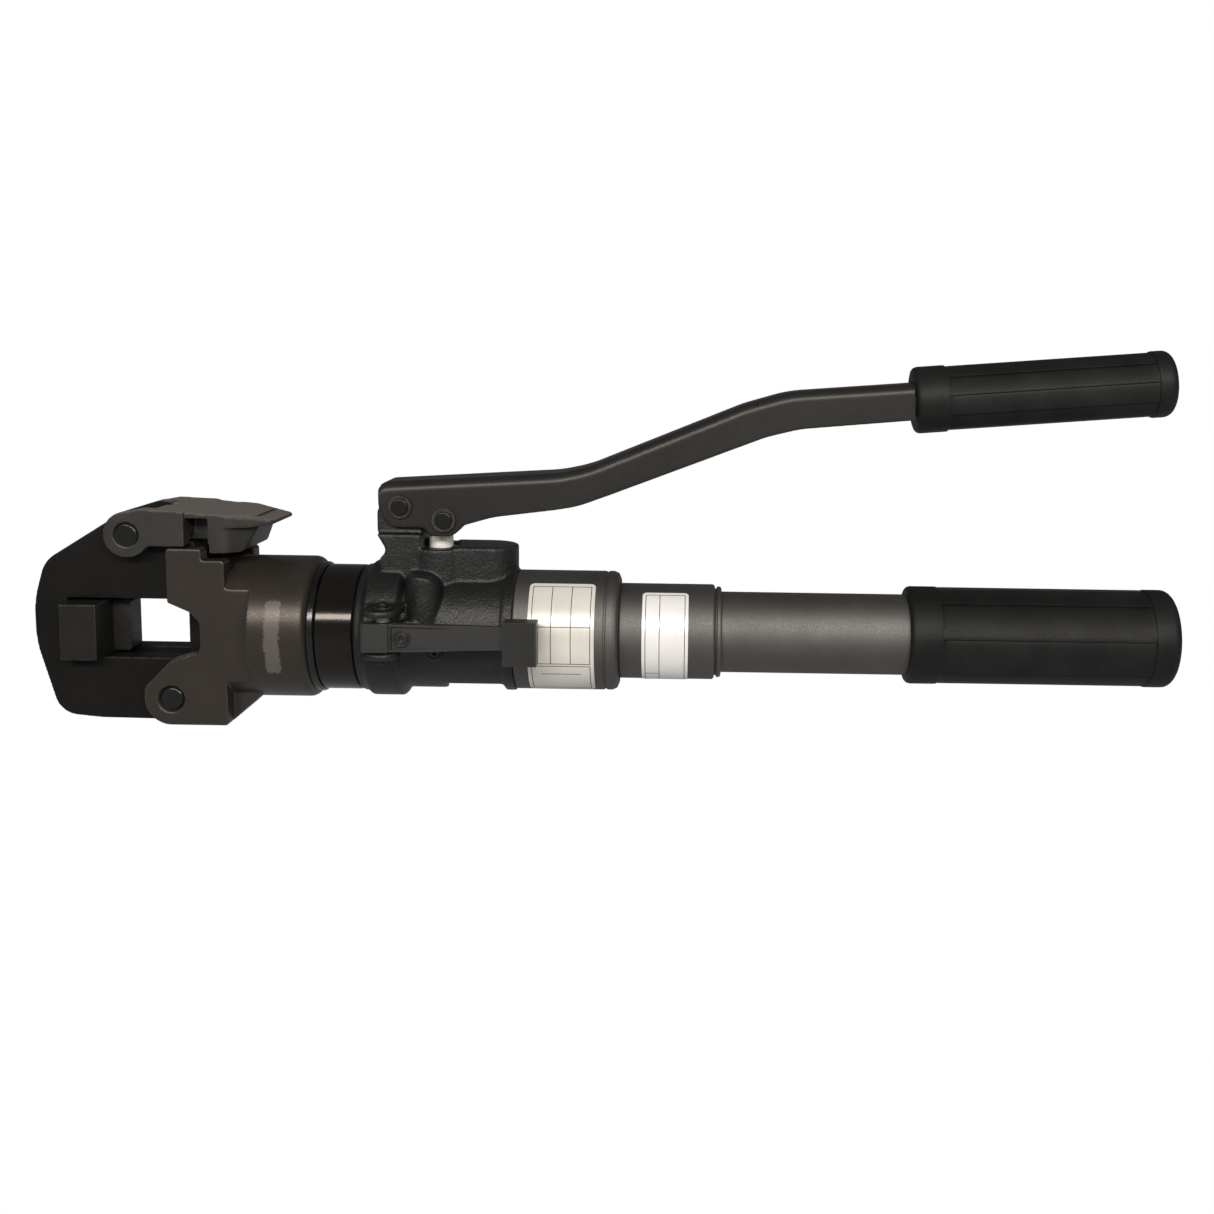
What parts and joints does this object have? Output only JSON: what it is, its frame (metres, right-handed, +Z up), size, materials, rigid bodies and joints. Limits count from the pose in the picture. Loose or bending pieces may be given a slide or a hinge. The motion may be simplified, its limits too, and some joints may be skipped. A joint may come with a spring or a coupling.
{
  "type": "hydraulic rescue cutter",
  "caption": "Hand-pumped hydraulic cutter: swivelling head, swing-open latched jaw, guillotine blade, pump lever and release lever.",
  "frame": {"origin": "on the tool's axis, midway along the bare handle tube", "axes": "+X along the tool from the head to the grips, +Y across it away from the release lever, +Z up towards the pump lever"},
  "size_m": [0.5167, 0.0772, 0.1737],
  "materials": {
    "cast_black": "sand-cast iron under satin black paint",
    "jaw_black": "forged steel, matt black finish",
    "blackened_steel": "warm charcoal satin finish on steel",
    "polished_black": "gloss black polished barrel",
    "lever_paint": "satin dark grey paint on pressed steel",
    "black_oxide": "black oxide on turned steel",
    "blade_steel": "ground tool steel, oiled",
    "ground_steel": "bright ground steel",
    "spring_steel": "spring steel, oiled",
    "bronze": "bearing bronze",
    "seal_rubber": "nitrile rubber",
    "grip_rubber": "ribbed matt black rubber",
    "plate_foil": "silver foil plate with plain ruled fields"
  },
  "bodies": {
    "pump_unit": {"pump_body": "cast_black", "cylinder_barrel": "polished_black", "barrel_seal": "seal_rubber", "reservoir_shell": "blackened_steel", "reservoir_seal": "seal_rubber", "reservoir_bladder": "seal_rubber", "bladder_clamp": "spring_steel", "suction_filter": "bronze", "handle_socket": "blackened_steel", "socket_ring": "blackened_steel", "handle_tube": "blackened_steel", "tube_plug": "ground_steel", "main_grip": "grip_rubber", "rating_plate": "plate_foil", "caution_plate": "plate_foil", "fulcrum_pin": "black_oxide", "fulcrum_clips": "black_oxide", "plunger_gland": "black_oxide", "plunger_seal": "seal_rubber", "valve_balls": "spring_steel", "valve_springs": "spring_steel", "valve_plugs": "black_oxide", "relief_poppet": "spring_steel", "relief_spring": "spring_steel", "relief_adjuster": "black_oxide", "release_ball": "spring_steel", "release_ball_spring": "spring_steel", "release_pivot_pin": "black_oxide", "release_pivot_clips": "black_oxide", "release_torsion_spring": "spring_steel", "filler_screw": "black_oxide"},
    "head": {"head_yoke": "blackened_steel", "dust_seal": "seal_rubber", "retaining_ring": "spring_steel", "rod_bush": "bronze", "return_spring": "spring_steel", "hinge_pin": "black_oxide"},
    "ram": {"ram_piston": "ground_steel", "piston_seal": "seal_rubber", "moving_blade": "blade_steel", "blade_pin": "black_oxide"},
    "jaw": {"jaw": "jaw_black", "anvil_block": "blackened_steel", "fixed_blade": "blade_steel", "anvil_screws": "spring_steel", "latch_pin": "black_oxide"},
    "latch": {"latch": "blackened_steel"},
    "lever": {"pump_lever": "lever_paint", "lever_grip": "grip_rubber", "plunger_pin": "black_oxide", "plunger_pin_clips": "black_oxide"},
    "plunger": {"pump_plunger": "ground_steel"},
    "release_lever": {"release_lever": "cast_black", "release_adjuster_screw": "black_oxide"},
    "release_stem": {"release_stem": "ground_steel"}
  },
  "joints": [
    {"name": "head_swivel", "type": "hinge", "parent": "pump_unit", "child": "head", "pos_m": [-0.2235, 0, 0], "axis": [1, 0, 0], "range_deg": [-90, 90]},
    {"name": "ram_slide", "type": "slide", "parent": "head", "child": "ram", "axis": [-1, 0, 0], "range_m": [0, 0.0244], "stiffness_N_per_m": 900, "springref_m": -0.01, "deforming": ["return_spring"]},
    {"name": "jaw_swing", "type": "hinge", "parent": "head", "child": "jaw", "pos_m": [-0.2886, 0, -0.0292], "axis": [0, -1, 0], "range_deg": [0, 80]},
    {"name": "latch_swing", "type": "hinge", "parent": "jaw", "child": "latch", "pos_m": [-0.3063, 0, 0.0448], "axis": [0, -1, 0], "range_deg": [0, 120]},
    {"name": "lever_swing", "type": "hinge", "parent": "pump_unit", "child": "lever", "pos_m": [-0.1875, 0, 0.0577], "axis": [0, -1, 0], "range_deg": [0, 45]},
    {"name": "plunger_slide", "type": "slide", "parent": "pump_unit", "child": "plunger", "axis": [0, 0, 1], "range_m": [0, 0.016]},
    {"name": "release_swing", "type": "hinge", "parent": "pump_unit", "child": "release_lever", "pos_m": [-0.1905, -0.037, 0.0037], "axis": [0, 0, 1], "range_deg": [0, 4], "stiffness_Nm_per_rad": 0.6, "springref_deg": -2.86},
    {"name": "release_stem_slide", "type": "slide", "parent": "pump_unit", "child": "release_stem", "axis": [0, 1, 0], "range_m": [0, 0.0007]}
  ],
  "couplings": [
    {"joint": "latch_swing", "follows": "jaw_swing", "ratio": 1.5},
    {"joint": "plunger_slide", "follows": "lever_swing", "m_per_rad": 0.02},
    {"joint": "release_stem_slide", "follows": "release_swing", "m_per_rad": 0.0087}
  ]
}
